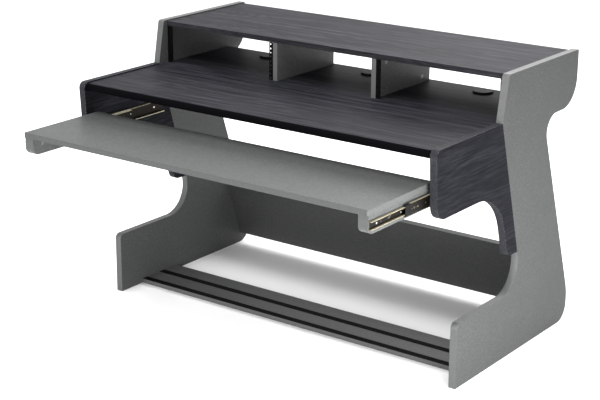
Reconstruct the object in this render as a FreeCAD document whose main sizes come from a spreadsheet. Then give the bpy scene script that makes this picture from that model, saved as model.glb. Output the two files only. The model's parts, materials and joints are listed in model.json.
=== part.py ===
"""Workstation desk with a raised shelf, two rack bays and a pull-out keyboard tray.

Desk coordinates, in millimetres: x runs across the desk from its middle, y runs back from the
fronts of the feet, and z runs up from the floor. Every sub-part is then moved along y, so that the
origin is on the floor under the middle of the whole desk with its tray pulled out.
"""
import FreeCAD, Part
import os
import re

import Sketcher

Vector = FreeCAD.Vector
LEFT, RIGHT = -1, 1
SIDES = (("left", LEFT), ("right", RIGHT))
UP, DOWN, RIGHTWARD = Vector(0, 0, 1), Vector(0, 0, -1), Vector(1, 0, 0)

DIMENSIONS = {
    # side panels: one board each, cut to a foot, a leaning leg and a head
    "desk_width": 1460, "panel_thick": 25, "panel_height": 977,
    "foot_height": 222, "foot_radius": 18, "crook_y": 415, "crook_radius": 101,
    "seam_top_y": 236.5, "arm_top_z": 823.5, "brow_y": 266, "brow_radius": 11,
    "head_back_y": 742.5, "head_back_radius": 4, "head_under_z": 787, "head_under_radius": 98,
    "neck_y": 516, "neck_radius": 60, "heel_y": 757.5, "heel_z": 106,
    "heel_high_radius": 160, "heel_low_radius": 60,
    # arms: they carry the desktop and the tray in front of the legs
    "arm_front_top_y": -157.5, "arm_front_low_y": -144, "arm_low_z": 599,
    "arm_top_radius": 22, "arm_chin_radius": 50, "arm_crook_y": 237.6, "arm_crook_radius": 188,
    "arm_tip_y": 308.9, "arm_tip_z": 359.5, "arm_tip_radius": 30,
    # boards between the panels
    "board_thick": 18, "desktop_thick": 25, "desktop_top_z": 819.5,
    "desktop_front_y": -150, "desktop_back_y": 638, "nose_high_radius": 21, "nose_low_radius": 3.5,
    "shelf_top_z": 973, "shelf_front_y": 284, "shelf_back_y": 733,
    "divider_x": 207, "divider_front_y": 285, "divider_back_y": 628,
    "back_low_y": 701, "back_low_z": 40, "back_height": 248,
    "footrest_thick": 16, "footrest_front_y": 113, "footrest_back_y": 306,
    "strip_width": 27, "strip_thick": 1.2, "strip_front_y": 113.5, "strip_rear_y": 208,
    # rack rails: three rack units high, with the usual three holes in each unit
    "rail_front_y": 286, "rail_width": 18, "rail_depth": 27, "rail_thick": 2,
    "rack_unit": 44.45, "rail_units": 3, "rail_first_hole": 6.35, "rail_hole_pitch": 15.875,
    "rail_hole_radius": 3, "rail_hole_inset": 11.95, "rail_screw_y": 303, "rail_screw_rise": 14,
    # keyboard tray
    "tray_half_width": 692.3, "tray_front_y": -462, "tray_back_y": -108, "tray_top_z": 714,
    "tray_corner_radius": 5, "tray_edge_radius": 2, "runner_low_z": 637,
    "runner_front_y": -457, "runner_back_y": -112, "runner_corner_radius": 24,
    # ball-bearing slides in the gaps at the ends of the tray
    "slide_z": 664.5, "slide_length": 350, "slide_back_y": 246, "tray_travel": 350, "steel": 1.2,
    "cabinet_height": 45, "cabinet_depth": 11, "cabinet_lip": 0.9,
    "middle_height": 35, "middle_inset": 2, "middle_depth": 8.8,
    "drawer_height": 25, "drawer_depth": 8.1,
    "stop_length": 28, "stop_inset": 2.1, "stop_web": 2, "stop_depth": 7.9,
    "stop_height": 34.8, "stop_wall": 4.3,
    "ball_radius": 1.8, "ball_reach": 7.4, "ball_pitch": 16, "cage_steel": 0.5, "cage_tip": 9.4,
    "outer_cage_inset": 1.35, "inner_cage_inset": 3.5, "outer_cage_length": 150,
    "inner_cage_length": 130, "access_radius": 3, "eyelet_radius": 1.8,
    # cable grommets
    "grommet_x": 460.5, "grommet_y": 580, "grommet_radius": 30, "grommet_flange": 36,
    "flange_thick": 2.5, "grommet_wall": 2, "grommet_depth": 22, "grommet_fit": 0.2,
    "cap_radius": 35.4, "cap_thick": 4.4, "cap_gap": 0.1, "cap_fit": 0.3, "cap_skirt": 10,
    "cap_wall": 2.2, "cap_edge": 1.5, "notch_width": 20, "notch_reach": 19,
    # fittings
    "cam_radius": 7.4, "cam_floor": 3.5, "cam_slot_width": 1.6, "cam_slot_length": 9,
    "cam_slot_depth": 1.2, "cam_setback": 34, "cam_setback_short": 21, "cam_setback_tray": 24,
    "bolt_radius": 3, "bolt_bore_radius": 4.1, "bolt_head": 2.5,
    "thread_radius": 2.4, "thread_length": 11, "dowel_radius": 4, "dowel_length": 28,
    "dowel_reach": 10, "seam_dowel_length": 40, "seam_dowel_reach": 20, "layer_dowel_reach": 14,
    "fit": 0.1, "screw_radius": 1.9, "screw_head_radius": 3.6, "screw_head": 2,
    "rail_screw_length": 13, "flush_head_radius": 3.3, "slide_screw_length": 14,
}

doc = FreeCAD.newDocument("workstation_desk")
sheet = doc.addObject("Spreadsheet::Sheet", "Dims")
for row, (alias, value) in enumerate(DIMENSIONS.items(), start=1):
    sheet.set(f"A{row}", alias)
    sheet.set(f"B{row}", str(value))
    sheet.setAlias(f"B{row}", alias)
doc.recompute()

INNER = "(desk_width / 2 - panel_thick)"
ORIGIN_Y = "((heel_y + tray_front_y) / 2)"
SEAM_SLOPE = "((crook_y - seam_top_y) / (arm_top_z - foot_height))"
BACK_SLOPE = "((heel_y - neck_y) / (head_under_z - heel_z))"
SHELF_LOW_Z = "(shelf_top_z - board_thick)"
DESKTOP_LOW_Z = "(desktop_top_z - desktop_thick)"
TRAY_LOW_Z = "(tray_top_z - board_thick)"
RAIL_HEIGHT = "(rack_unit * rail_units)"
RAIL_LOW_Z = f"((desktop_top_z + {SHELF_LOW_Z} - {RAIL_HEIGHT}) / 2)"
CABINET_FRONT_Y = "(slide_back_y - slide_length)"
MIDDLE_FRONT_Y = f"({CABINET_FRONT_Y} - tray_travel / 2)"
DRAWER_FRONT_Y = f"({CABINET_FRONT_Y} - tray_travel)"

subparts = []


def formula(words):
    """Point every dimension's name in an expression at its cell of the spreadsheet."""
    return re.sub(r"\b([a-z]\w*)\b(?!\()", r"Dims.\1", words)


def size(words):
    """The present value of an expression, in millimetres or as a plain ratio."""
    return float(sheet.evalExpression(formula(words)))


def finished(obj, label):
    """Name a sub-part and put it on the list of those to write."""
    obj.Label = label
    subparts.append(obj)
    return obj


# ---------------------------------------------------------------- making solids

def outline(body, role, offset, corners):
    """A closed sketch of straight lines, each corner held by two dimensions from the sheet."""
    sketch = body.newObject("Sketcher::SketchObject", body.Name + "_outline")
    plane = next(part for part in body.Origin.OriginFeatures if part.Role == role)
    sketch.AttachmentSupport = [(plane, "")]
    sketch.MapMode = "FlatFace"
    sketch.setExpression("AttachmentOffset.Base.z", formula(offset))
    points = [Vector(size(along), size(up), 0) for along, up in corners]
    count = len(points)
    for index in range(count):
        sketch.addGeometry(Part.LineSegment(points[index], points[(index + 1) % count]))
    for index in range(count):
        sketch.addConstraint(Sketcher.Constraint("Coincident", index, 2, (index + 1) % count, 1))
    for index, (along, up) in enumerate(corners):
        hold(sketch, "DistanceX", index, 1, along)
        hold(sketch, "DistanceY", index, 1, up)
    return sketch


def hold(sketch, kind, geometry, vertex, words):
    """Dimension one point of a sketch from its origin with an expression."""
    name = f"{kind}_{geometry}"
    held = sketch.addConstraint(Sketcher.Constraint(kind, -1, 1, geometry, vertex, size(words)))
    sketch.renameConstraint(held, name)
    sketch.setExpression(f"Constraints.{name}", formula(words))


def edge_over(shape, role, along, up):
    """The name of the straight edge that a corner of an outline was padded into."""
    first, second = {"YZ_Plane": "yz", "XY_Plane": "xy", "XZ_Plane": "xz"}[role]
    for number, edge in enumerate(shape.Edges, start=1):
        ends = [vertex.Point for vertex in edge.Vertexes]
        if all(abs(getattr(end, first) - along) + abs(getattr(end, second) - up) < 0.01
               for end in ends):
            return f"Edge{number}"
    raise ValueError(f"no edge at {along}, {up}")


def prism(name, role, offset, depth, corners, rounds=()):
    """A padded outline, with the corners listed in rounds given a radius."""
    body = doc.addObject("PartDesign::Body", name)
    sketch = outline(body, role, offset, corners)
    last = body.newObject("PartDesign::Pad", name + "_pad")
    last.Profile = sketch
    last.setExpression("Length", formula(depth))
    doc.recompute()
    for number, radius in rounds:
        along, up = corners[number]
        edge = edge_over(last.Shape, role, size(along), size(up))
        fillet = body.newObject("PartDesign::Fillet", f"{name}_round_{number}")
        fillet.Base = (last, [edge])
        fillet.setExpression("Radius", formula(radius))
        doc.recompute()
        last = fillet
    body.setExpression("Placement.Base.y", formula(f"-{ORIGIN_Y}"))
    return body


def rectangle(low_along, high_along, low_up, high_up):
    """The four corners of an outline, starting at the lowest."""
    return ((low_along, low_up), (high_along, low_up), (high_along, high_up), (low_along, high_up))


def moved(solid, x, y, z):
    """Place a Part object by three expressions in desk coordinates."""
    for letter, words in (("x", x), ("y", f"{y} - {ORIGIN_Y}"), ("z", z)):
        solid.setExpression(f"Placement.Base.{letter}", formula(words))
    return solid


def box(name, x, y, z):
    """A Part::Box from a low and a high expression in each direction."""
    solid = doc.addObject("Part::Box", name)
    for side, (low, high) in zip(("Length", "Width", "Height"), (x, y, z)):
        solid.setExpression(side, formula(f"{high} - ({low})"))
    return moved(solid, x[0], y[0], z[0])


def cylinder(name, radius, x, y, low, high):
    """An upright Part::Cylinder."""
    solid = doc.addObject("Part::Cylinder", name)
    solid.setExpression("Radius", formula(radius))
    solid.setExpression("Height", formula(f"{high} - ({low})"))
    return moved(solid, x, y, low)


def group(name, shapes):
    """Separate solids in one object: a set of identical fasteners, or the tools for their holes."""
    feature = doc.addObject("Part::Feature", name)
    feature.Shape = Part.makeCompound(shapes)
    feature.Placement = FreeCAD.Placement(Vector(0, -size(ORIGIN_Y), 0), FreeCAD.Rotation())
    return feature


def cut(blank, *tools):
    """Take tools away from a blank, one after the other, and check that each took something."""
    name = blank.Name
    doc.recompute()
    for number, tool in enumerate(tools):
        result = doc.addObject("Part::Cut", f"{name}_cut_{number}")
        result.Base = blank
        result.Tool = tool
        doc.recompute()
        if result.Shape.Volume > blank.Shape.Volume - 0.1:
            raise ValueError(f"{tool.Name} takes nothing from {name}")
        blank = result
    return blank


# ---------------------------------------------------------------- fittings in their own frames
# A cam housing's origin is on the face of its board: x points at the board it pulls in, z out of
# the face. Its bolt and bores share that frame. A dowel or screw points along x from its origin.

def frame_at(point, towards, outward):
    rotation = FreeCAD.Rotation(towards, outward.cross(towards), outward, "ZXY")
    return FreeCAD.Placement(point, rotation)


def placed(shape, placement):
    copy = shape.copy()
    copy.Placement = placement
    return copy


def rod(radius, start, end, drop=0.0):
    return Part.makeCylinder(radius, end - start, Vector(start, 0, -drop), Vector(1, 0, 0))


def cam_housing(thickness):
    depth = thickness / 2 + size("cam_floor")
    radius, throat = size("cam_radius"), size("bolt_bore_radius")
    width, length, sunk = size("cam_slot_width"), size("cam_slot_length"), size("cam_slot_depth")
    drum = Part.makeCylinder(radius, depth, Vector(0, 0, -depth))
    slots = [Part.makeBox(across, along, 2 * sunk, Vector(-across / 2, -along / 2, -sunk))
             for across, along in ((width, length), (length, width))]
    return drum.cut([rod(throat, -throat, radius + 1, thickness / 2)] + slots)


def cam_bolt(thickness, setback):
    shank = rod(size("bolt_radius"), -size("bolt_head"), setback, thickness / 2)
    return shank.fuse(rod(size("thread_radius"), setback, setback + size("thread_length"),
                          thickness / 2))


def cam_bores(thickness, setback):
    spare = size("fit")
    depth = thickness / 2 + size("cam_floor") + spare
    pocket = Part.makeCylinder(size("cam_radius") + spare, depth + 1, Vector(0, 0, -depth))
    bore = rod(size("bolt_bore_radius"), 0, setback, thickness / 2)
    pilot = rod(size("thread_radius") + spare, setback, setback + size("thread_length") + spare,
                thickness / 2)
    return pocket.fuse([bore, pilot])


def pan_screw(length, spare=0.0):
    shank = rod(size("screw_radius") + spare, -spare, length + spare)
    return shank if spare else shank.fuse(rod(size("screw_head_radius"), -size("screw_head"), 0))


def flush_screw(length, spare=0.0):
    thick = size("steel")
    head = Part.makeCone(size("flush_head_radius") + spare, size("screw_radius") + spare, thick,
                         Vector(-thick, 0, 0), Vector(1, 0, 0))
    return head.fuse(rod(size("screw_radius") + spare, 0, length + spare))


class Joinery:
    """The cam fittings and dowels of one set of joints, and the holes that they need."""

    def __init__(self, name, thickness, setback="cam_setback"):
        self.name = name
        self.thickness = size(thickness)
        self.setback = size(setback)
        self.cams = []
        self.dowels = []

    def cam(self, point, towards, outward):
        self.cams.append(frame_at(point, towards, outward))

    def dowel(self, point, towards, length="dowel_length", reach="dowel_reach"):
        """A dowel whose end stands out by reach from a joint face at the given point."""
        sideways = UP if abs(towards.z) < 0.9 else RIGHTWARD
        frame = frame_at(point, towards, towards.cross(sideways).normalize())
        self.dowels.append((frame, size(reach) - size(length), size(reach)))

    def housings(self):
        return [placed(cam_housing(self.thickness), frame) for frame in self.cams]

    def bolts(self):
        return [placed(cam_bolt(self.thickness, self.setback), frame) for frame in self.cams]

    def pegs(self):
        radius = size("dowel_radius")
        return [placed(rod(radius, start, end), frame) for frame, start, end in self.dowels]

    def holes(self):
        radius, spare = size("dowel_radius") + size("fit"), size("fit")
        bores = [placed(cam_bores(self.thickness, self.setback), frame) for frame in self.cams]
        bores += [placed(rod(radius, start - spare, end + spare), frame)
                  for frame, start, end in self.dowels]
        return group(self.name + "_holes", bores)


def sideward(side):
    return Vector(side, 0, 0)


def level_joints(name, thickness, face_z, cams_y, dowels_y):
    """Joints of a level board with both side panels, its cams sunk in the underside."""
    joints = Joinery(name, thickness)
    for _, side in SIDES:
        for y in cams_y:
            cam_x = side * (size(INNER) - joints.setback)
            joints.cam(Vector(cam_x, y, size(face_z)), sideward(side), DOWN)
        for y in dowels_y:
            middle_z = size(face_z) + joints.thickness / 2
            joints.dowel(Vector(side * size(INNER), y, middle_z), sideward(side))
    return joints


def divider_joints():
    """Joints of the dividers with the shelf and the desktop, cams on the sides facing the racks."""
    joints = Joinery("divider", "board_thick", "cam_setback_short")
    for _, side in SIDES:
        for face_z, towards in ((size(SHELF_LOW_Z), UP), (size("desktop_top_z"), DOWN)):
            cam_z = face_z - towards.z * joints.setback
            for y in (347, 579):
                cam_x = side * (size("divider_x") + joints.thickness / 2)
                joints.cam(Vector(cam_x, y, cam_z), towards, sideward(side))
            for y in (410, 500):
                joints.dowel(Vector(side * size("divider_x"), y, face_z), towards)
    return joints


def back_joints():
    """Joints of the leaning back panel with the side panels, cams in its rear face."""
    joints = Joinery("back", "board_thick")
    lean_y, lean_z = size(f"sin(atan({BACK_SLOPE}))"), size(f"cos(atan({BACK_SLOPE}))")
    upward, rearward = Vector(0, -lean_y, lean_z), Vector(0, lean_z, lean_y)
    corner = Vector(0, size("back_low_y"), size("back_low_z"))
    for _, side in SIDES:
        for rise in (48, 200):
            face = corner + upward * rise + rearward * joints.thickness
            cam = face + sideward(side) * (size(INNER) - joints.setback)
            joints.cam(cam, sideward(side), rearward)
        middle = corner + upward * 124 + rearward * (joints.thickness / 2)
        joints.dowel(middle + sideward(side) * size(INNER), sideward(side))
    return joints


def arm_joints():
    """Joints of the arms with the legs behind them, cams in the inner faces of the arms."""
    joints = Joinery("arm", "panel_thick")
    towards = Vector(0, size(f"cos(atan({SEAM_SLOPE}))"), size(f"sin(atan({SEAM_SLOPE}))"))
    for _, side in SIDES:
        for z in (746, 484):
            seam = Vector(side * size(INNER), seam_y(z), z)
            joints.cam(seam - towards * joints.setback, towards, sideward(-side))
        for z in (786, 610, 404):
            middle_x = side * (size(INNER) + joints.thickness / 2)
            joints.dowel(Vector(middle_x, seam_y(z), z), towards,
                         "seam_dowel_length", "seam_dowel_reach")
    return joints


def seam_y(z):
    return size("seam_top_y") + size(SEAM_SLOPE) * (size("arm_top_z") - z)


def tray_joints():
    """Joints of the tray board with its runners, and of the two layers of each runner."""
    joints = Joinery("tray", "board_thick", "cam_setback_tray")
    layer = joints.thickness
    under_z = size(TRAY_LOW_Z)
    for _, side in SIDES:
        outer_x = side * (size("tray_half_width") - layer / 2)
        inner_x = outer_x - side * layer
        face_x = inner_x - side * layer / 2
        for y in (-413, -157):
            joints.cam(Vector(face_x, y, under_z - joints.setback), UP, sideward(-side))
        joints.dowel(Vector(inner_x, -285, under_z), UP)
        for y in (-380, -190):
            joints.dowel(Vector(outer_x, y, under_z), UP)
            seam = Vector((outer_x + inner_x) / 2, y, size("runner_low_z") + layer / 2)
            joints.dowel(seam, sideward(side), reach="layer_dowel_reach")
    return joints


def screw_set(make, length, frames):
    """The screws at a list of frames and the bores that they need."""
    screws = [placed(make(size(length)), frame) for frame in frames]
    bores = [placed(make(size(length), size("fit")), frame) for frame in frames]
    return screws, bores


def rail_screw_frames():
    frames = []
    for wall_x, into_bay in rail_walls():
        for z in (size(f"{RAIL_LOW_Z} + rail_screw_rise"),
                  size(f"{RAIL_LOW_Z} + {RAIL_HEIGHT} - rail_screw_rise")):
            point = Vector(wall_x + into_bay * size("rail_thick"), size("rail_screw_y"), z)
            frames.append(frame_at(point, sideward(-into_bay), UP))
    return frames


def rail_walls():
    """Where each rail's back leg stands, and which way its flange points."""
    inner, near = size(INNER), size("divider_x + board_thick / 2")
    return ((-inner, RIGHT), (-near, LEFT), (near, RIGHT), (inner, LEFT))


def slide_screw_frames(wall, front_y, offsets, direction):
    """Screws through the web of a slide member, into the arm or into the tray's runner."""
    frames = []
    for _, side in SIDES:
        for offset in offsets:
            point = Vector(side * size(wall), size(front_y) + offset, size("slide_z"))
            frames.append(frame_at(point, sideward(side * direction), UP))
    return frames


# ---------------------------------------------------------------- boards

def side_panel(name, side, tools):
    corners = (("0", "0"), ("0", "foot_height"), ("crook_y", "foot_height"),
               ("seam_top_y", "arm_top_z"), ("brow_y", "panel_height"),
               ("head_back_y", "panel_height"), ("head_back_y", "head_under_z"),
               ("neck_y", "head_under_z"), ("heel_y", "heel_z"), ("heel_y", "0"))
    rounds = ((1, "foot_radius"), (2, "crook_radius"), (4, "brow_radius"),
              (5, "head_back_radius"), (6, "head_under_radius"), (7, "neck_radius"),
              (8, "heel_high_radius"), (9, "heel_low_radius"))
    blank = prism(f"panel_{name}", "YZ_Plane", outer_face(side), "panel_thick", corners, rounds)
    return finished(cut(blank, *tools), f"side_panel_{name}")


def outer_face(side):
    """Where a side board's pad starts: its lower x."""
    return INNER if side == RIGHT else "-desk_width / 2"


def arm(name, side, tools):
    tip_y = f"seam_top_y + {SEAM_SLOPE} * (arm_top_z - arm_tip_z)"
    corners = (("seam_top_y", "arm_top_z"), ("arm_front_top_y", "arm_top_z"),
               ("arm_front_low_y", "arm_low_z"), ("arm_crook_y", "arm_low_z"),
               ("arm_tip_y", "arm_tip_z"), (tip_y, "arm_tip_z"))
    rounds = ((1, "arm_top_radius"), (2, "arm_chin_radius"), (3, "arm_crook_radius"),
              (4, "arm_tip_radius"))
    blank = prism(f"arm_{name}_blank", "YZ_Plane", outer_face(side), "panel_thick", corners,
                  rounds)
    return finished(cut(blank, *tools), f"arm_{name}")


def level_board(name, front_y, back_y, low_z, high_z, tools, rounds=()):
    corners = rectangle(front_y, back_y, low_z, high_z)
    blank = prism(name + "_blank", "YZ_Plane", f"-{INNER}", f"2 * {INNER}", corners, rounds)
    return finished(cut(blank, *tools), name)


def divider(name, side, tools):
    middle = f"{side} * divider_x"
    blank = box(f"divider_{name}_blank",
                (f"{middle} - board_thick / 2", f"{middle} + board_thick / 2"),
                ("divider_front_y", "divider_back_y"), ("desktop_top_z", SHELF_LOW_Z))
    return finished(cut(blank, *tools), f"divider_{name}")


def back_panel(tools):
    lean = f"atan({BACK_SLOPE})"
    up_y, up_z = f"back_height * sin({lean})", f"back_height * cos({lean})"
    thick_y, thick_z = f"board_thick * cos({lean})", f"board_thick * sin({lean})"
    corners = (("back_low_y", "back_low_z"),
               (f"back_low_y + {thick_y}", f"back_low_z + {thick_z}"),
               (f"back_low_y + {thick_y} - {up_y}", f"back_low_z + {thick_z} + {up_z}"),
               (f"back_low_y - {up_y}", f"back_low_z + {up_z}"))
    blank = prism("back_blank", "YZ_Plane", f"-{INNER}", f"2 * {INNER}", corners)
    return finished(cut(blank, *tools), "back_panel")


def footrest_strip(name, front_y):
    strip = box(f"strip_{name}", (f"-{INNER}", INNER), (front_y, f"{front_y} + strip_width"),
                ("footrest_thick", "footrest_thick + strip_thick"))
    return finished(strip, f"footrest_strip_{name}")


# ---------------------------------------------------------------- rack rails

def rack_rail(name, wall_x, into_bay, tools):
    """A steel angle: its flange faces forward and carries the holes for rack equipment."""
    wall = str(wall_x)
    tip, web = f"{wall} + {into_bay} * rail_width", f"{wall} + {into_bay} * rail_thick"
    flange_back, leg_back = "rail_front_y + rail_thick", "rail_front_y + rail_depth"
    corners = ((wall, "rail_front_y"), (tip, "rail_front_y"), (tip, flange_back),
               (web, flange_back), (web, leg_back), (wall, leg_back))
    body = prism(f"rail_{name}", "XY_Plane", RAIL_LOW_Z, RAIL_HEIGHT, corners)
    rail_holes(body, f"{wall} + {into_bay} * rail_hole_inset")
    return finished(cut(body, *tools), f"rack_rail_{name}")


def rail_holes(body, hole_x):
    """Three holes in the lowest rack unit, repeated up the rail."""
    sketch = body.newObject("Sketcher::SketchObject", body.Name + "_hole_sketch")
    plane = next(part for part in body.Origin.OriginFeatures if part.Role == "XZ_Plane")
    sketch.AttachmentSupport = [(plane, "")]
    sketch.MapMode = "FlatFace"
    sketch.setExpression("AttachmentOffset.Base.z", formula("-rail_front_y"))
    for index in range(3):
        height = f"{RAIL_LOW_Z} + rail_first_hole + {index} * rail_hole_pitch"
        centre = Vector(size(hole_x), size(height), 0)
        sketch.addGeometry(Part.Circle(centre, Vector(0, 0, 1), size("rail_hole_radius")))
        hold(sketch, "DistanceX", index, 3, hole_x)
        hold(sketch, "DistanceY", index, 3, height)
        sketch.addConstraint(Sketcher.Constraint("Radius", index, size("rail_hole_radius")))
    pocket = body.newObject("PartDesign::Pocket", body.Name + "_holes")
    pocket.Profile = sketch
    pocket.setExpression("Length", formula("rail_thick * 2"))
    doc.recompute()
    pattern = body.newObject("PartDesign::LinearPattern", body.Name + "_units")
    pattern.Originals = [pocket]
    pattern.Direction = (sketch, ["V_Axis"])
    pattern.setExpression("Length", formula("rack_unit * (rail_units - 1)"))
    pattern.setExpression("Occurrences", formula("rail_units"))
    body.Tip = pattern
    doc.recompute()


# ---------------------------------------------------------------- keyboard tray

def tray_board(tools):
    corners = rectangle("-tray_half_width", "tray_half_width", "tray_front_y", "tray_back_y")
    rounds = tuple((number, "tray_corner_radius") for number in range(4))
    body = prism("tray_blank", "XY_Plane", TRAY_LOW_Z, "board_thick", corners, rounds)
    soften_top(body, body.Tip, "tray_edge_radius")
    return finished(cut(body, *tools), "tray_board")


def soften_top(body, base, radius):
    """Round the whole top edge of a body."""
    top = max(range(len(base.Shape.Faces)), key=lambda index: base.Shape.Faces[index].CenterOfMass.z)
    fillet = body.newObject("PartDesign::Fillet", body.Name + "_top_edge")
    fillet.Base = (base, [f"Face{top + 1}"])
    fillet.setExpression("Radius", formula(radius))
    doc.recompute()


def tray_runner(name, side, layer, tools):
    """One of the two layers under an end of the tray: layer 0 is the outer one."""
    near = f"tray_half_width - {layer} * board_thick"
    start = f"{near} - board_thick" if side == RIGHT else f"-({near})"
    corners = rectangle("runner_front_y", "runner_back_y", "runner_low_z", TRAY_LOW_Z)
    blank = prism(f"runner_{name}", "YZ_Plane", start, "board_thick", corners,
                  ((0, "runner_corner_radius"),))
    return finished(cut(blank, *tools), f"tray_runner_{name}")


# ---------------------------------------------------------------- slides

def reach(side, words):
    """The x of a point at some distance from an arm's inner face towards the tray."""
    return f"{side} * ({INNER} - ({words}))"


def channel(name, side, web, tip, opens, height, steel, front_y, length, lip=""):
    """A steel channel along y: its web is at one reach and its flanges end at another."""
    half, folded = f"({height}) / 2", f"{web} + {opens} * {steel}"
    lower = [(web, half), (tip, half)]
    if lip:
        lower += [(tip, f"{half} - {steel} - {lip}"),
                  (f"{tip} - {opens} * {steel}", f"{half} - {steel} - {lip}"),
                  (f"{tip} - {opens} * {steel}", f"{half} - {steel}")]
    else:
        lower += [(tip, f"{half} - {steel}")]
    lower += [(folded, f"{half} - {steel}")]
    corners = [(reach(side, across), f"slide_z - ({drop})") for across, drop in lower]
    corners += [(reach(side, across), f"slide_z + ({drop})") for across, drop in reversed(lower)]
    return prism(name, "XZ_Plane", f"-({front_y} + {length})", length, corners)


def slide(name, side, cabinet_bores, drawer_bores):
    """The members, ball cages, balls and end stop of one three-part slide, pulled fully out."""
    cabinet = channel(f"cabinet_{name}", side, "0", "cabinet_depth", 1, "cabinet_height", "steel",
                      CABINET_FRONT_Y, "slide_length", "cabinet_lip")
    finished(cut(cabinet, cabinet_bores), f"slide_{name}_cabinet_member")
    middle = channel(f"middle_{name}", side, "middle_inset", "middle_inset + middle_depth", 1,
                     "middle_height", "steel", f"{MIDDLE_FRONT_Y} + stop_length",
                     "(slide_length - stop_length)")
    finished(cut(middle, access_holes(name, side)), f"slide_{name}_middle_member")
    gap = "tray_half_width"
    drawer = channel(f"drawer_{name}", side, f"{INNER} - {gap}", f"{INNER} - {gap} - drawer_depth",
                     -1, "drawer_height", "steel", DRAWER_FRONT_Y, "slide_length")
    finished(cut(drawer, drawer_bores, tray_member_slots(name, side)),
             f"slide_{name}_tray_member")
    end_stop(name, side)
    outer_middle = f"({CABINET_FRONT_Y} + {MIDDLE_FRONT_Y} + slide_length) / 2"
    ball_cage(f"{name}_outer", side, "outer_cage_inset", "cabinet_height", "middle_height",
              outer_middle, "outer_cage_length")
    inner_middle = f"({MIDDLE_FRONT_Y} + stop_length + {DRAWER_FRONT_Y} + slide_length) / 2"
    ball_cage(f"{name}_inner", side, "inner_cage_inset", "middle_height", "drawer_height",
              inner_middle, "inner_cage_length")


def access_holes(name, side):
    """Round holes through the middle member's web: wide ones reach the screws behind it."""
    start = size(reach(side, "middle_inset")) + side
    front_y = size(MIDDLE_FRONT_Y)
    holes = []
    for radius, offsets in (("access_radius", (48, 68, 174, 300)),
                            ("eyelet_radius", (36, 58, 110, 150, 220, 285, 315))):
        for offset in offsets:
            centre = Vector(start, front_y + offset, size("slide_z"))
            holes.append(Part.makeCylinder(size(radius), size("steel") + 2, centre,
                                           sideward(-side)))
    return group(f"access_{name}", holes)


def tray_member_slots(name, side):
    """Upright and level slots beside the screws, for setting the tray straight."""
    wall = size("tray_half_width")
    slots = []
    for offset, along, up in ((60, 4, 9), (102, 12, 5), (228, 12, 5), (270, 4, 9)):
        corner = Vector(min(side * (wall - 1), side * (wall + 2 * size("steel"))),
                        size(DRAWER_FRONT_Y) + offset - along / 2, size("slide_z") - up / 2)
        slots.append(Part.makeBox(2 * size("steel") + 1, along, up, corner))
    return group(f"slots_{name}", slots)


def end_stop(name, side):
    """The plastic piece in the mouth of the middle member, open towards the tray."""
    back, front = reach(side, "stop_inset"), reach(side, "stop_inset + stop_depth")
    inside = reach(side, "stop_inset + stop_web")
    half, hollow = "stop_height / 2", "(stop_height / 2 - stop_wall)"
    corners = ((back, f"slide_z - {half}"), (front, f"slide_z - {half}"),
               (front, f"slide_z - {hollow}"), (inside, f"slide_z - {hollow}"),
               (inside, f"slide_z + {hollow}"), (front, f"slide_z + {hollow}"),
               (front, f"slide_z + {half}"), (back, f"slide_z + {half}"))
    stop = prism(f"stop_{name}", "XZ_Plane", f"-({MIDDLE_FRONT_Y} + stop_length)", "stop_length",
                 corners)
    finished(stop, f"slide_{name}_end_stop")


def ball_cage(name, side, inset, outside, inside, middle_y, length):
    """A pressed cage and its two rows of balls, between the flanges of two members."""
    rows = f"({outside} - 2 * steel + {inside})"
    cage = channel(f"cage_{name}", side, inset, "cage_tip", 1, f"{rows} / 2 + cage_steel",
                   "cage_steel", f"({middle_y} - {length} / 2)", length)
    count = int((size(length) - 10) // size("ball_pitch")) + 1
    first_y = size(middle_y) - (count - 1) * size("ball_pitch") / 2
    x = size(reach(side, "ball_reach"))
    centres = [Vector(x, first_y + index * size("ball_pitch"), size("slide_z"))
               for index in range(count)]
    drop = size(f"{rows} / 4")
    windows = [Part.makeCylinder(size("ball_radius + fit"), 2 * drop + 2,
                                 centre - Vector(0, 0, drop + 1)) for centre in centres]
    finished(cut(cage, group(f"windows_{name}", windows)), f"slide_{name}_cage")
    balls = [Part.makeSphere(size("ball_radius"), centre + Vector(0, 0, up))
             for centre in centres for up in (-drop, drop)]
    finished(group(f"balls_{name}", balls), f"slide_{name}_balls")


# ---------------------------------------------------------------- cable grommets

def grommet_liner(name, x):
    """The fixed ring: a tube in the desktop's hole with a flange on the desktop."""
    low = "desktop_top_z - grommet_depth"
    high = "desktop_top_z + flange_thick"
    tube = cylinder(f"tube_{name}", "grommet_radius - grommet_fit", x, "grommet_y", low, high)
    flange = cylinder(f"flange_{name}", "grommet_flange", x, "grommet_y", "desktop_top_z", high)
    bore = cylinder(f"bore_{name}", "grommet_radius - grommet_fit - grommet_wall", x, "grommet_y",
                    f"{low} - 1", f"{high} + 1")
    ring = doc.addObject("Part::Fuse", f"ring_{name}")
    ring.Base, ring.Tool = tube, flange
    return finished(cut(ring, bore), f"grommet_{name}_liner")


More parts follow.
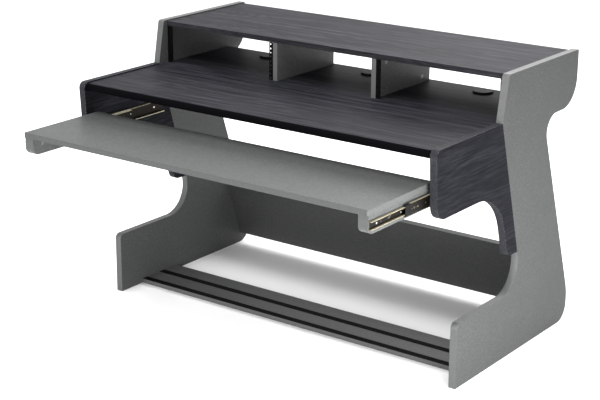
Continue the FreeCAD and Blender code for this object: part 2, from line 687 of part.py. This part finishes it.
def grommet_cap(name, x):
    """The turning cover: a disc with a skirt inside the liner and a notch for cables."""
    low = "(desktop_top_z + flange_thick + cap_gap)"
    high = f"({low} + cap_thick)"
    skirt_radius = "(grommet_radius - grommet_fit - grommet_wall - cap_fit)"
    disc = cylinder(f"disc_{name}", "cap_radius", x, "grommet_y", low, high)
    doc.recompute()
    rim = doc.addObject("Part::Fillet", f"rim_{name}")
    rim.Base = disc
    rim.Edges = [(upper_edge(disc.Shape), size("cap_edge"), size("cap_edge"))]
    skirt = cylinder(f"skirt_{name}", skirt_radius, x, "grommet_y", f"{low} - cap_skirt", low)
    hollow = cylinder(f"hollow_{name}", f"{skirt_radius} - cap_wall", x, "grommet_y",
                      f"{low} - cap_skirt - 1", low)
    cover = doc.addObject("Part::Fuse", f"cover_{name}")
    cover.Base, cover.Tool = rim, cut(skirt, hollow)
    notch = box(f"notch_{name}", (f"{x} - notch_width / 2", f"{x} + notch_width / 2"),
                ("grommet_y + cap_radius - notch_reach", "grommet_y + cap_radius + 1"),
                (f"{low} - cap_skirt - 1", f"{high} + 1"))
    return finished(cut(cover, notch), f"grommet_{name}_cap")


def upper_edge(shape):
    """The number of a cylinder's upper round edge."""
    rounds = [number for number, edge in enumerate(shape.Edges, start=1)
              if len(edge.Vertexes) == 1]
    return max(rounds, key=lambda number: shape.Edges[number - 1].CenterOfMass.z)


# ---------------------------------------------------------------- the desk

desktop_set = level_joints("desktop", "desktop_thick", DESKTOP_LOW_Z,
                           (-80, 120, 340, 560), (20, 300, 450))
shelf_set = level_joints("shelf", "board_thick", SHELF_LOW_Z, (345, 680), (420, 600))
footrest_set = level_joints("footrest", "footrest_thick", "0", (150, 270), (210,))
divider_set, back_set = divider_joints(), back_joints()
arm_set, tray_set = arm_joints(), tray_joints()
desktop_holes, shelf_holes, footrest_holes = (
    desktop_set.holes(), shelf_set.holes(), footrest_set.holes())
divider_holes, back_holes = divider_set.holes(), back_set.holes()
arm_holes, tray_holes = arm_set.holes(), tray_set.holes()

rail_screws, rail_bores = screw_set(pan_screw, "rail_screw_length", rail_screw_frames())
cabinet_screws, cabinet_bores = screw_set(
    flush_screw, "slide_screw_length",
    slide_screw_frames(INNER, CABINET_FRONT_Y, (37, 176, 304), 1))
runner_screws, runner_bores = screw_set(
    flush_screw, "slide_screw_length",
    slide_screw_frames("tray_half_width", DRAWER_FRONT_Y, (37, 165, 293), -1))
rail_holes_tool = group("rail_screw_holes", rail_bores)
cabinet_holes = group("cabinet_screw_holes", cabinet_bores)
runner_holes = group("runner_screw_holes", runner_bores)

grommet_xs = (("left", "-grommet_x"), ("middle", "0"), ("right", "grommet_x"))
grommet_holes = [cylinder(f"hole_{name}", "grommet_radius", x, "grommet_y",
                          f"{DESKTOP_LOW_Z} - 1", "desktop_top_z + 1") for name, x in grommet_xs]

for name, side in SIDES:
    side_panel(name, side, (desktop_holes, shelf_holes, footrest_holes, back_holes, arm_holes,
                            rail_holes_tool))
    arm(name, side, (desktop_holes, arm_holes, cabinet_holes))
    divider(name, side, (divider_holes, rail_holes_tool))
level_board("desktop", "desktop_front_y", "desktop_back_y", DESKTOP_LOW_Z, "desktop_top_z",
            [desktop_holes, divider_holes] + grommet_holes,
            ((3, "nose_high_radius"), (0, "nose_low_radius")))
level_board("top_shelf", "shelf_front_y", "shelf_back_y", SHELF_LOW_Z, "shelf_top_z",
            (shelf_holes, divider_holes))
back_panel((back_holes,))
level_board("footrest_board", "footrest_front_y", "footrest_back_y", "0", "footrest_thick",
            (footrest_holes,))
footrest_strip("front", "strip_front_y")
footrest_strip("rear", "strip_rear_y")

for name, (wall_x, into_bay) in zip(("left_outer", "left_inner", "right_inner", "right_outer"),
                                    rail_walls()):
    rack_rail(name, wall_x, into_bay, (rail_holes_tool,))

tray_board((tray_holes,))
for name, side in SIDES:
    tray_runner(f"{name}_outer", side, 0, (tray_holes, runner_holes))
    tray_runner(f"{name}_inner", side, 1, (tray_holes,))
    slide(name, side, cabinet_holes, runner_holes)

for name, x in grommet_xs:
    grommet_liner(name, x)
    grommet_cap(name, x)

boards_18 = (shelf_set, divider_set, back_set)
boards_25 = (desktop_set, arm_set)
desk_sets = boards_18 + boards_25 + (footrest_set,)
fasteners = (
    ("cam_locks_18mm", [part for joints in boards_18 for part in joints.housings()]),
    ("cam_locks_25mm", [part for joints in boards_25 for part in joints.housings()]),
    ("cam_locks_16mm", footrest_set.housings()),
    ("cam_bolts", [part for joints in desk_sets if joints is not divider_set
                   for part in joints.bolts()]),
    ("divider_cam_bolts", divider_set.bolts()),
    ("board_dowels", [part for joints in desk_sets if joints is not arm_set
                      for part in joints.pegs()]),
    ("arm_dowels", arm_set.pegs()),
    ("tray_cam_locks", tray_set.housings()),
    ("tray_cam_bolts", tray_set.bolts()),
    ("tray_dowels", tray_set.pegs()),
    ("rail_screws", rail_screws),
    ("slide_desk_screws", cabinet_screws),
    ("slide_tray_screws", runner_screws),
)
for name, shapes in fasteners:
    finished(group(name + "_set", shapes), name)

doc.recompute()
for obj in doc.Objects:
    if {"Invalid", "Error"} & set(obj.State):
        raise ValueError(f"{obj.Name} did not compute: {obj.State}")
for part in subparts:
    if part.Shape.isNull() or not part.Shape.isValid() or not part.Shape.Solids:
        raise ValueError(f"{part.Label} is not a valid solid")

os.makedirs("parts", exist_ok=True)
for part in subparts:
    part.Shape.exportStep(f"parts/{part.Label}.step")
print(len(subparts), "sub-parts written")
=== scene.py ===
"""Looks of the studio computer desk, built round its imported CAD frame.

The boards, fixings and slides are the CAD nodes themselves, given procedural materials. Only the
two ribbed strips of the footrest are shapes of their own. Lengths are in metres.
"""
import json
import math

import bpy
from mathutils import Matrix, Vector


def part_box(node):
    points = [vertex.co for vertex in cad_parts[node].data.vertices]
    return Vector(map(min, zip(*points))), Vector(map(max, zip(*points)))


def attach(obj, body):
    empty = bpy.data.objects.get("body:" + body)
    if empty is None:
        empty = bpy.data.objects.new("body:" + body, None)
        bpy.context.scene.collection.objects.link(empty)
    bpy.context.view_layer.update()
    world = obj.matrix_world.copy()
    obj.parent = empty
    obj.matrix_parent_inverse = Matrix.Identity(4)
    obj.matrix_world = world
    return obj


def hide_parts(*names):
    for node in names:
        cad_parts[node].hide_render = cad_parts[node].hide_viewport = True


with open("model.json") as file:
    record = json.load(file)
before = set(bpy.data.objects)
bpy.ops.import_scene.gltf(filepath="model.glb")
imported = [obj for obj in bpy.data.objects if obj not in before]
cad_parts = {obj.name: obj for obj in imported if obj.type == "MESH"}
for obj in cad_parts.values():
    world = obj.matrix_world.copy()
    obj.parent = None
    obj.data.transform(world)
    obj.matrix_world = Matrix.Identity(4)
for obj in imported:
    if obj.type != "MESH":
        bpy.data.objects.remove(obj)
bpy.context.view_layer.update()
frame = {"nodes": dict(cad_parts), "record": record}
nodes = frame["nodes"]

SIDES = ("left", "right")
LAYERS = ("outer", "inner")


# ------------------------------------------------------------------ node helpers
class Tree:
    """Short names for building a material's node tree."""

    def __init__(self, name):
        self.material = bpy.data.materials.new(name)
        self.material.use_nodes = True
        self.nodes = self.material.node_tree.nodes
        self.links = self.material.node_tree.links
        self.shader = self.nodes["Principled BSDF"]

    def add(self, kind, inputs=None, **settings):
        node = self.nodes.new("ShaderNode" + kind)
        for key, value in settings.items():
            setattr(node, key, value)
        for key, value in (inputs or {}).items():
            self.put(node, key, value)
        return node

    def put(self, node, key, value):
        """Link a socket to an input, or write a constant into it."""
        if isinstance(value, bpy.types.NodeSocket):
            self.links.new(value, node.inputs[key])
        else:
            node.inputs[key].default_value = value

    def set(self, **inputs):
        """Set the shader's inputs, with underscores for the spaces in their names."""
        for key, value in inputs.items():
            self.put(self.shader, key.replace("_", " "), value)

    def place(self, scale=(1, 1, 1), turn=(0, 0, 0)):
        """Object coordinates, stretched and turned."""
        where = self.add("TexCoord").outputs["Object"]
        mapping = self.add("Mapping", {"Vector": where, "Rotation": turn, "Scale": scale})
        return mapping.outputs[0]

    def noise(self, vector, scale, detail=4.0, rough=0.55, warp=0.0):
        node = self.add("TexNoise", {"Vector": vector, "Scale": scale, "Detail": detail,
                                     "Roughness": rough, "Distortion": warp})
        return node.outputs["Fac"]

    def ramp(self, factor, *stops):
        node = self.add("ValToRGB", {"Fac": factor})
        elements = node.color_ramp.elements
        while len(elements) < len(stops):
            elements.new(0.5)
        for element, (place, colour) in zip(elements, stops):
            element.position = place
            element.color = colour
        return node.outputs[0]

    def grey(self, factor, low, high, start=0.0, end=1.0):
        """A value that goes from low to high as the factor goes from start to end."""
        node = self.add("MapRange", {"Value": factor, "From Min": start, "From Max": end,
                                     "To Min": low, "To Max": high})
        return node.outputs[0]

    def math(self, operation, first, second=0.0):
        return self.add("Math", {0: first, 1: second}, operation=operation).outputs[0]

    def weigh(self, *terms):
        """The sum of some sockets, each times its weight."""
        total = None
        for socket, weight in terms:
            term = self.math("MULTIPLY", socket, weight)
            total = term if total is None else self.math("ADD", total, term)
        return total

    def mix(self, factor, first, second):
        node = self.add("Mix", {0: factor, 6: first, 7: second}, data_type="RGBA")
        return node.outputs[2]

    def bump(self, height, strength, distance):
        inputs = {"Height": height, "Strength": strength, "Distance": distance}
        return self.add("Bump", inputs).outputs[0]


def shade(colour, factor):
    """A colour made darker or lighter, with the fourth number that sockets want."""
    return tuple(min(1.0, value * factor) for value in colour) + (1,)


# ------------------------------------------------------------------ kinds of surface
def speckled_board(name, colour, contrast=0.25, gloss=0.42, sheen=0.22):
    """Plain melamine: a fine speckle, a pearl texture and faint wear in its shine."""
    tree = Tree(name)
    where = tree.place()
    speck = tree.noise(where, 170, 2, 0.8)
    coarse = tree.noise(where, 110, 2, 0.7)
    cloud = tree.noise(where, 5, 3, 0.5)
    colours = tree.ramp(speck, (0.38, shade(colour, 1 - contrast)),
                        (0.62, shade(colour, 1 + contrast)))
    colours = tree.mix(tree.grey(coarse, 0.0, 0.6, 0.45, 0.7), colours, shade(colour, 0.78))
    colours = tree.mix(tree.grey(cloud, 0.0, 0.35, 0.35, 0.7), colours, shade(colour, 0.93))
    pearl = tree.noise(where, 800, 2, 0.5)
    smudge = tree.noise(where, 14, 4, 0.6)
    tree.set(Base_Color=colours, Roughness=tree.grey(smudge, gloss - 0.05, gloss + 0.1),
             Normal=tree.bump(pearl, 0.12, 0.0004), Specular_IOR_Level=sheen)
    return tree.material


def stretched(along, share):
    """A texture scale that draws a pattern out along one axis."""
    return tuple(share if axis == along else 1 for axis in "xyz")


GRAIN_STRETCH, FLAME_STRETCH = 0.025, 0.16
RING_COUNT = 300


def grain_board(name, along, dark, light, flame=0.2, gloss=0.5, tilt=0.0, sheen=0.05,
                fineness=1.0):
    """Wood-grain melamine: bands, streaks, pores and flame figure along one direction."""
    tree = Tree(name)
    where = tree.place(stretched(along, GRAIN_STRETCH), (tilt, 0, 0))
    bands = tree.noise(where, 90 * fineness, 2, 0.5)
    streaks = tree.noise(where, 300 * fineness, 3, 0.65)
    hairs = tree.noise(where, 560 * fineness, 2, 0.6)
    pores = tree.noise(where, 900, 2, 0.6)
    field = tree.noise(tree.place(stretched(along, FLAME_STRETCH), (tilt, 0, 0)), 4.5, 2, 0.35, 0.3)
    rings = tree.math("SINE", tree.math("MULTIPLY", field, RING_COUNT))
    figure = tree.weigh((bands, 0.16), (streaks, 0.50), (hairs, 0.34), (rings, 0.12 * flame))
    colours = tree.ramp(figure, (0.40, shade(dark, 0.65)), (0.47, shade(dark, 1.1)),
                        (0.53, shade(light, 0.8)), (0.60, shade(light, 1.45)))
    colours = tree.mix(tree.grey(pores, 0.0, 0.6, 0.55, 0.75), colours, shade(dark, 0.5))
    tree.set(Base_Color=colours, Roughness=tree.grey(streaks, gloss - 0.06, gloss + 0.14),
             Normal=tree.bump(hairs, 0.2, 0.0006), Specular_IOR_Level=sheen)
    return tree.material


def edging(name, colour, gloss=0.35, sheen=0.2):
    """A plastic edge band: even colour with faint waviness."""
    tree = Tree(name)
    fine = tree.noise(tree.place(), 240, 3, 0.6)
    wave = tree.noise(tree.place(), 18, 2, 0.5)
    colours = tree.ramp(fine, (0.3, shade(colour, 0.9)), (0.7, shade(colour, 1.1)))
    tree.set(Base_Color=colours, Roughness=tree.grey(wave, gloss, gloss + 0.12),
             Normal=tree.bump(fine, 0.08, 0.0004), Specular_IOR_Level=sheen)
    return tree.material


def metal(name, colour, rough=(0.25, 0.45), metallic=1.0):
    """Rolled or plated steel with drawing lines along it and blotches in its plating."""
    tree = Tree(name)
    lines = tree.noise(tree.place(stretched("y", 0.03)), 900, 3, 0.6)
    blotch = tree.noise(tree.place(), 60, 3, 0.6)
    colours = tree.ramp(blotch, (0.3, shade(colour, 0.75)), (0.7, shade(colour, 1.15)))
    tree.set(Base_Color=colours, Roughness=tree.grey(lines, *rough),
             Normal=tree.bump(lines, 0.08, 0.0002), Metallic=metallic)
    return tree.material


def painted(name, colour, rough, sheen=0.05, bump=0.15, scale=700):
    """Powder coat, moulded plastic or rubber: fine grain in an even colour."""
    tree = Tree(name)
    grain = tree.noise(tree.place(), scale, 3, 0.6)
    wear = tree.noise(tree.place(), 25, 4, 0.6)
    colours = tree.ramp(wear, (0.35, shade(colour, 0.85)), (0.7, shade(colour, 1.2)))
    tree.set(Base_Color=colours, Roughness=tree.grey(grain, *rough),
             Normal=tree.bump(grain, bump, 0.0004), Specular_IOR_Level=sheen)
    return tree.material


# ------------------------------------------------------------------ the desk's own surfaces
DARK = (0.0105, 0.0108, 0.0132)
PALE_GRAIN = (0.0265, 0.0273, 0.0325)
# The desktop is the shelf's wood made darker, as painted shade under the shelf, with less contrast
# in its grain.
DESKTOP_DARK_SHADED = shade(DARK, 0.9)[:3]
DESKTOP_PALE_SHADED = shade(PALE_GRAIN, 0.78)[:3]
ARM_DARK = (0.0058, 0.0060, 0.0074)
ARM_PALE = (0.0100, 0.0104, 0.0128)

panel_face = speckled_board("panel_grey", (0.0445, 0.0467, 0.0456), contrast=0.22, sheen=0.05)
panel_edge = edging("panel_grey_edge", (0.072, 0.0749, 0.0735))
# A brighter copy of the grey edge band for the rounded edges: painted highlight.
panel_painted_highlight = edging("panel_grey_painted_highlight", (0.12, 0.1248, 0.122))
inner_face = speckled_board("shelf_grey", (0.0534, 0.0561, 0.0548))
# The back panel is the same grey board, made darker here as painted shade.
back_face_painted_shade = speckled_board("back_grey_painted_shade", (0.032, 0.0336, 0.0328))
arm_face = grain_board("arm_grain", "y", ARM_DARK, ARM_PALE, flame=0.3, tilt=0.02, sheen=0.015)
arm_edge = grain_board("arm_edge_grain", "y", (0.017, 0.0176, 0.0204), (0.024, 0.0248, 0.0282))
# A near-white line for the arms' rounded edges: painted highlight.
arm_painted_highlight = edging("arm_painted_highlight", (0.60, 0.61, 0.64))
shelf_face = grain_board("shelf_grain", "x", DARK, PALE_GRAIN, fineness=0.45)
shelf_edge = grain_board("shelf_edge_grain", "x", (0.0110, 0.0113, 0.0132),
                         (0.017, 0.0175, 0.0200))
top_face = grain_board("desktop_grain", "x", DESKTOP_DARK_SHADED, DESKTOP_PALE_SHADED, fineness=0.45)
top_edge = edging("desktop_edge", (0.0015, 0.0015, 0.002), 0.55, 0.01)
tray_face = speckled_board("tray_grey", (0.0596, 0.0626, 0.0611))
tray_edge = edging("tray_edge", (0.0646, 0.0678, 0.0662))
# A darker copy of the tray's edge band for its front faces: painted shade.
tray_front_painted_shade = edging("tray_front_edge_painted_shade", (0.054, 0.0567, 0.0554))
# A brighter copy of the tray's edge band for its rounded edges: painted highlight.
tray_painted_highlight = edging("tray_painted_highlight", (0.11, 0.115, 0.112))

FACE_SLOT, EDGE_SLOT, LINE_SLOT, FRONT_SLOT = range(4)
WELD_DISTANCE = 0.00001
SHARP = math.radians(35)
BOARD_BEVEL, ARM_BEVEL, SMALL_BEVEL = 0.0013, 0.002, 0.0004


def soften(piece, width, material=-1):
    """Weld the frame's split corners together and round the sharp edges a little."""
    weld = piece.modifiers.new("weld", "WELD")
    weld.merge_threshold = WELD_DISTANCE
    bevel = piece.modifiers.new("bevel", "BEVEL")
    bevel.width = width
    bevel.segments = 2
    bevel.limit_method = "ANGLE"
    bevel.angle_limit = SHARP
    bevel.harden_normals = True
    bevel.material = material


def wear_materials(node, *materials):
    """Replace the materials of a CAD piece and return its mesh."""
    mesh = nodes[node].data
    mesh.materials.clear()
    for material in materials:
        mesh.materials.append(material)
    return mesh


def board_finish(node, face, edge, line, is_face, width=BOARD_BEVEL):
    """Give a board its surface, its edge band and the line material for its rounded edges, which on
    most boards is a thin bright painted highlight.
    """
    mesh = wear_materials(node, face, edge, line)
    for polygon in mesh.polygons:
        polygon.material_index = FACE_SLOT if is_face(polygon.normal) else EDGE_SLOT
    soften(nodes[node], width, LINE_SLOT)


FACING = 0.9
LEAN_Y, LEAN_Z = 0.94, 0.33


def flat_x(normal):
    return abs(normal.x) > FACING


def flat_z(normal):
    return abs(normal.z) > FACING


def leaning(normal):
    """Whether a face is one of the back panel's two large ones, which lean with the legs."""
    return abs(normal.x) < 0.5 and abs(normal.y * LEAN_Y + normal.z * LEAN_Z) > FACING


for side in SIDES:
    board_finish(f"side_panel_{side}", panel_face, panel_edge, panel_painted_highlight, flat_x)
    board_finish(f"arm_{side}", arm_face, arm_edge, arm_painted_highlight, flat_x, ARM_BEVEL)
    board_finish(f"divider_{side}", inner_face, panel_edge, panel_painted_highlight, flat_x)
    for layer in LAYERS:
        board_finish(f"tray_runner_{side}_{layer}", tray_face, tray_edge, tray_painted_highlight, flat_x)
board_finish("desktop", top_face, top_edge, top_edge, flat_z)
board_finish("top_shelf", shelf_face, shelf_edge, shelf_edge, flat_z)
board_finish("back_panel", back_face_painted_shade, panel_edge, panel_painted_highlight, leaning)
board_finish("footrest_board", inner_face, panel_edge, panel_painted_highlight, flat_z)
board_finish("tray_board", tray_face, tray_edge, tray_painted_highlight, flat_z)
# The tray's front faces take the darker copy of its edge band, as painted shade.
tray_mesh = nodes["tray_board"].data
tray_mesh.materials.append(tray_front_painted_shade)
for polygon in tray_mesh.polygons:
    if polygon.normal.y < -0.5:
        polygon.material_index = FRONT_SLOT

# ------------------------------------------------------------------ fixings, rails and plastics
RUBBER = painted("rubber_strip", (0.003, 0.003, 0.003), (0.6, 0.75), 0.05, 0.3, 500)
ROUNDED = {
    "ribbed_rubber": RUBBER,
    "black_steel": painted("black_powder_coat", (0.002, 0.002, 0.002), (0.4, 0.55), 0.03),
    "black_plastic": painted("black_moulding", (0.005, 0.005, 0.005), (0.4, 0.55), 0.05),
}
SHARP_EDGED = {
    "cage_steel": metal("cage_zinc", (0.40, 0.40, 0.38)),
    "bearing_steel": metal("ball_steel", (0.6, 0.6, 0.6), (0.08, 0.18)),
    "zinc_casting": metal("cast_zinc", (0.2, 0.2, 0.195), (0.35, 0.5)),
    "fixing_steel": metal("screw_zinc", (0.6, 0.6, 0.58), (0.2, 0.4)),
    "beech": grain_board("beech_dowel", "x", (0.42, 0.27, 0.14), (0.62, 0.44, 0.26)),
}
finishes = {**ROUNDED, **SHARP_EDGED}
for entry in frame["record"]["subparts"]:
    if entry["material_slot"] in finishes:
        wear_materials(entry["node"], finishes[entry["material_slot"]])
    if entry["material_slot"] in ROUNDED:
        soften(nodes[entry["node"]], SMALL_BEVEL)

# ------------------------------------------------------------------ ball-bearing slides
LIP = 0.0013
WEB_SLOT, FLANGE_SLOT, CUT_SLOT = range(3)
# The webs are made near-black to stand for shade and the dark surroundings they reflect: painted
# shade.
slide_web_painted_shade = metal("slide_web_painted_shade", (0.007, 0.0055, 0.004), (0.35, 0.55))
slide_flange = metal("slide_flange", (0.40, 0.36, 0.25), (0.25, 0.4), 0.35)
slide_cut_end = metal("slide_cut_end", (0.17, 0.12, 0.065), (0.3, 0.5), 0.6)


def web_and_flanges(node):
    """Near-black webs as painted shade, bright rolled flanges with bright tips, and brassy cut ends.
    """
    low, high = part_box(node)
    middle_z, reach = (low.z + high.z) / 2, (high.z - low.z) / 2 - LIP
    for polygon in wear_materials(node, slide_web_painted_shade, slide_flange, slide_cut_end).polygons:
        polygon.material_index = FLANGE_SLOT
        if flat_x(polygon.normal) and abs(polygon.center.z - middle_z) < reach:
            polygon.material_index = WEB_SLOT
        elif abs(polygon.normal.y) > FACING:
            polygon.material_index = CUT_SLOT


for side in SIDES:
    for member in ("cabinet", "middle", "tray"):
        web_and_flanges(f"slide_{side}_{member}_member")

# ------------------------------------------------------------------ ribbed strips of the footrest
RIBS, STEPS_PER_RIB = 7, 8
RIB_RISE = 0.0007


def ribbed_section(low, high):
    """The strip's outline across the desk, as (y, z) corners from its front foot to its rear one."""
    pitch = (high.y - low.y) / RIBS
    outline = [(low.y, low.z)]
    for index in range(RIBS * STEPS_PER_RIB + 1):
        rise = abs(math.sin(math.pi * index / STEPS_PER_RIB))
        outline.append((low.y + pitch * index / STEPS_PER_RIB, high.z - RIB_RISE * (1 - rise)))
    return outline + [(high.y, low.z)]


def ribbed_strip(node):
    """A rubber strip with rounded ribs along it, in the groove that its plain solid fills."""
    low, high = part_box(node)
    outline = ribbed_section(low, high)
    count = len(outline)
    corners = [(x, y, z) for x in (low.x, high.x) for y, z in outline]
    walls = [(i + count, (i + 1) % count + count, (i + 1) % count, i) for i in range(count)]
    ends = [tuple(range(count)), tuple(reversed(range(count, 2 * count)))]
    mesh = bpy.data.meshes.new(node + "_ribs")
    mesh.from_pydata(corners, [], walls + ends)
    mesh.materials.append(RUBBER)
    strip = bpy.data.objects.new(node + "_ribs", mesh)
    bpy.context.scene.collection.objects.link(strip)
    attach(strip, "desk")
    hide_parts(node)


for place in ("front", "rear"):
    ribbed_strip(f"footrest_strip_{place}")

# ------------------------------------------------------------------ floor
FLOOR_REACH = 30
FLOOR_Z = -0.0002  # just under the feet, so that no face of theirs lies in the floor's plane
floor_signs = ((-1, -1), (1, -1), (1, 1), (-1, 1))
floor_corners = [(x * FLOOR_REACH, y * FLOOR_REACH, FLOOR_Z) for x, y in floor_signs]
floor_mesh = bpy.data.meshes.new("floor")
floor_mesh.from_pydata(floor_corners, [], [(0, 1, 2, 3)])
floor = bpy.data.objects.new("floor", floor_mesh)
bpy.context.scene.collection.objects.link(floor)
floor_tree = Tree("pale_floor")
mottle = floor_tree.noise(floor_tree.place(), 3, 2, 0.5)
whites = floor_tree.ramp(mottle, (0.3, (0.93, 0.93, 0.93, 1)), (0.7, (0.95, 0.95, 0.95, 1)))
floor_tree.set(Base_Color=whites, Roughness=0.9, Specular_IOR_Level=0.0)
floor_mesh.materials.append(floor_tree.material)

# ------------------------------------------------------------------ light
DESK_MIDDLE = (0, 0, 0.5)
FOOT_OUTSIDE = (0.73, -0.1, 0.15)
LIGHTS = {
    # name: place, target, width, height, watts
    "front_softbox": ((0.3, -1.3, 4.3), DESK_MIDDLE, 4, 3, 215),
    "front_low_softbox": ((0.3, -4.5, 1.0), DESK_MIDDLE, 5, 1.2, 165),
    "rear_softbox": ((0, 3, 3.5), DESK_MIDDLE, 4, 3, 183),
    "right_softbox": ((3.8, -2.2, 1.1), DESK_MIDDLE, 3, 1, 24),
    "right_high_softbox": ((4, 0, 3.5), DESK_MIDDLE, 3, 3, 8),
    "right_low_softbox": ((1.9, -0.5, 0.15), FOOT_OUTSIDE, 1.6, 0.3, 60),
}
WORLD_STRENGTH = 1.11
WHITE = (1, 1, 1, 1)

world = bpy.data.worlds.new("studio")
bpy.context.scene.world = world
world.use_nodes = True
backdrop = world.node_tree.nodes["Background"]
backdrop.inputs["Color"].default_value = WHITE
backdrop.inputs["Strength"].default_value = WORLD_STRENGTH

for name, (place, target, width, height, power) in LIGHTS.items():
    light = bpy.data.lights.new(name, "AREA")
    light.shape = "RECTANGLE"
    light.size, light.size_y, light.energy = width, height, power
    lamp = bpy.data.objects.new(name, light)
    lamp.location = place
    lamp.rotation_euler = (Vector(target) - Vector(place)).to_track_quat("-Z", "Y").to_euler()
    bpy.context.scene.collection.objects.link(lamp)

# ------------------------------------------------------------------ camera
CAMERA_PLACE = Vector((2.9714, -4.02385, 2.0599))
YAW, PITCH, ROLL = math.radians(36.40), math.radians(-17.79), math.radians(0.23)
LENS, SENSOR_WIDTH = 91.63, 36
FAR_CLIP = 100

forward = Vector((-math.sin(YAW) * math.cos(PITCH), math.cos(YAW) * math.cos(PITCH),
                  math.sin(PITCH)))
level = Vector((math.cos(YAW), math.sin(YAW), 0))
upward = level.cross(forward)
right = level * math.cos(ROLL) + upward * math.sin(ROLL)
up = upward * math.cos(ROLL) - level * math.sin(ROLL)
camera_data = bpy.data.cameras.new("camera")
camera_data.lens = LENS
camera_data.sensor_width = SENSOR_WIDTH
camera_data.clip_end = FAR_CLIP
camera = bpy.data.objects.new("camera", camera_data)
axes = Matrix((right, up, -forward)).transposed().to_4x4()
camera.matrix_world = Matrix.Translation(CAMERA_PLACE) @ axes
bpy.context.scene.collection.objects.link(camera)
bpy.context.scene.camera = camera
bpy.context.scene.view_settings.view_transform = "Standard"
